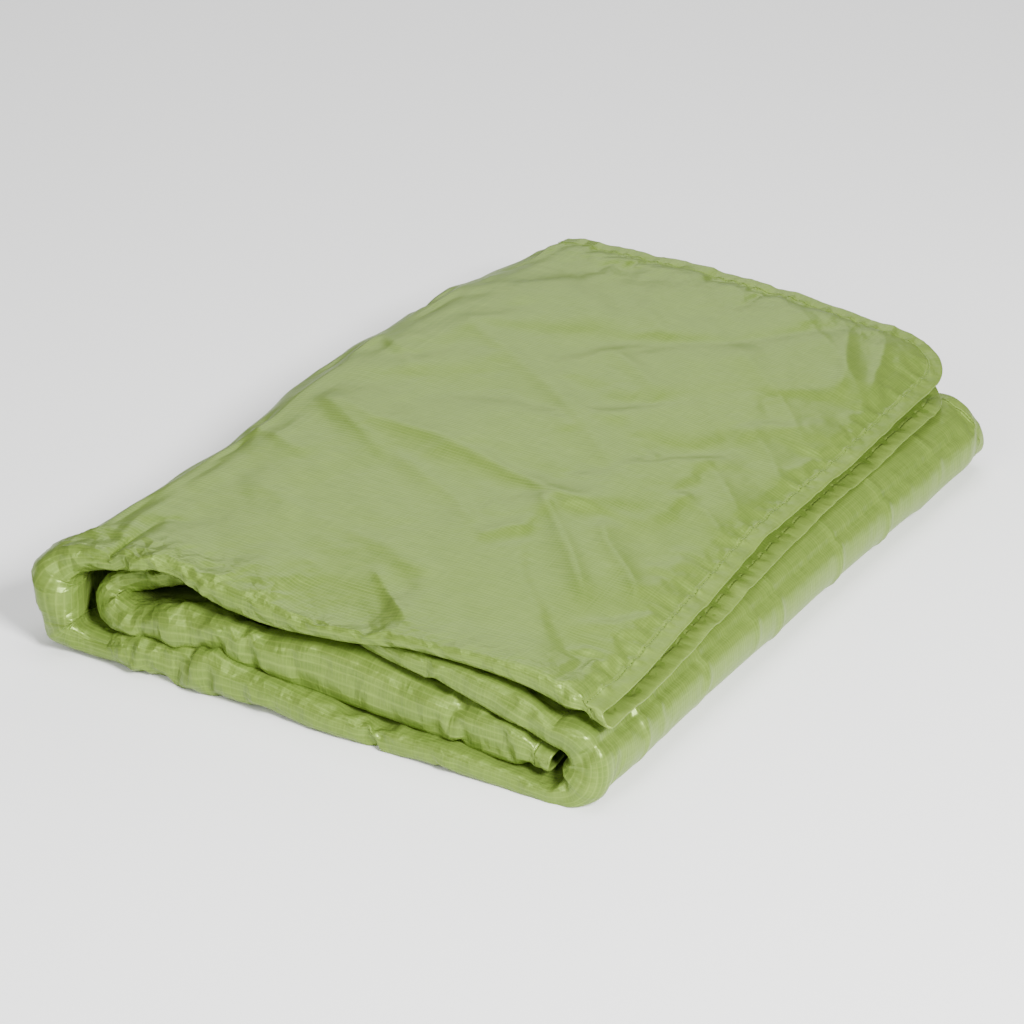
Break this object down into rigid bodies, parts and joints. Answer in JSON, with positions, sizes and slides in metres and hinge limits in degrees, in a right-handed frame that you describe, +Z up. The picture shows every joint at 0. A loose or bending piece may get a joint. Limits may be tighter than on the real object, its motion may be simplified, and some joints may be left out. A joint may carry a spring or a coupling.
{
  "type": "camp quilt",
  "caption": "Thin insulated camp quilt, folded in half along its length and rolled up in four panels; the hemmed top flap opens.",
  "frame": {"origin": "on the ground under the middle of the folded quilt", "axes": "+X across the folded quilt, from the left fold to the right roll; +Y from the front fold to the hems at the back; +Z up"},
  "size_m": [0.49, 0.722, 0.0928],
  "materials": {
    "face_ripstop": "green ripstop, calendered to a satin sheen",
    "lining_taffeta": "green taffeta, satin",
    "hem_binding": "the face ripstop turned over the edge",
    "thread": "matt green polyester thread",
    "batting": "white polyester batting"
  },
  "bodies": {
    "folded_stack": {"left_fold_face": "face_ripstop", "left_fold_insulation": "batting", "left_fold_lining": "lining_taffeta", "left_fold_hem_outer": "hem_binding", "left_fold_thread_outer": "thread", "left_fold_hem_inner": "hem_binding", "left_fold_thread_inner": "thread", "base_face": "face_ripstop", "base_insulation": "batting", "base_lining": "lining_taffeta", "base_hem_outer": "hem_binding", "base_thread_outer": "thread", "base_hem_inner": "hem_binding", "base_thread_inner": "thread", "right_roll_face": "face_ripstop", "right_roll_insulation": "batting", "right_roll_lining": "lining_taffeta", "right_roll_hem_outer": "hem_binding", "right_roll_thread_outer": "thread", "right_roll_hem_inner": "hem_binding", "right_roll_thread_inner": "thread", "middle_face": "face_ripstop", "middle_insulation": "batting", "middle_lining": "lining_taffeta", "middle_hem_outer": "hem_binding", "middle_thread_outer": "thread", "middle_hem_inner": "hem_binding", "middle_thread_inner": "thread", "inner_fold_face": "face_ripstop", "inner_fold_insulation": "batting", "inner_fold_lining": "lining_taffeta", "inner_fold_hem_outer": "hem_binding", "inner_fold_thread_outer": "thread", "inner_fold_hem_inner": "hem_binding", "inner_fold_thread_inner": "thread", "inner_panel_face": "face_ripstop", "inner_panel_insulation": "batting", "inner_panel_lining": "lining_taffeta", "inner_panel_hem": "hem_binding", "inner_panel_thread": "thread"},
    "top_flap": {"top_flap_face": "face_ripstop", "top_flap_insulation": "batting", "top_flap_lining": "lining_taffeta", "top_flap_hem": "hem_binding", "top_flap_thread": "thread"}
  },
  "joints": [
    {"name": "top_flap_fold", "type": "hinge", "parent": "folded_stack", "child": "top_flap", "pos_m": [-0.245, 0, 0.0464], "axis": [0, -1, 0], "range_deg": [0, 180], "deforming": ["left_fold_face", "left_fold_insulation", "left_fold_lining", "left_fold_hem_outer", "left_fold_thread_outer", "left_fold_hem_inner", "left_fold_thread_inner"]}
  ]
}
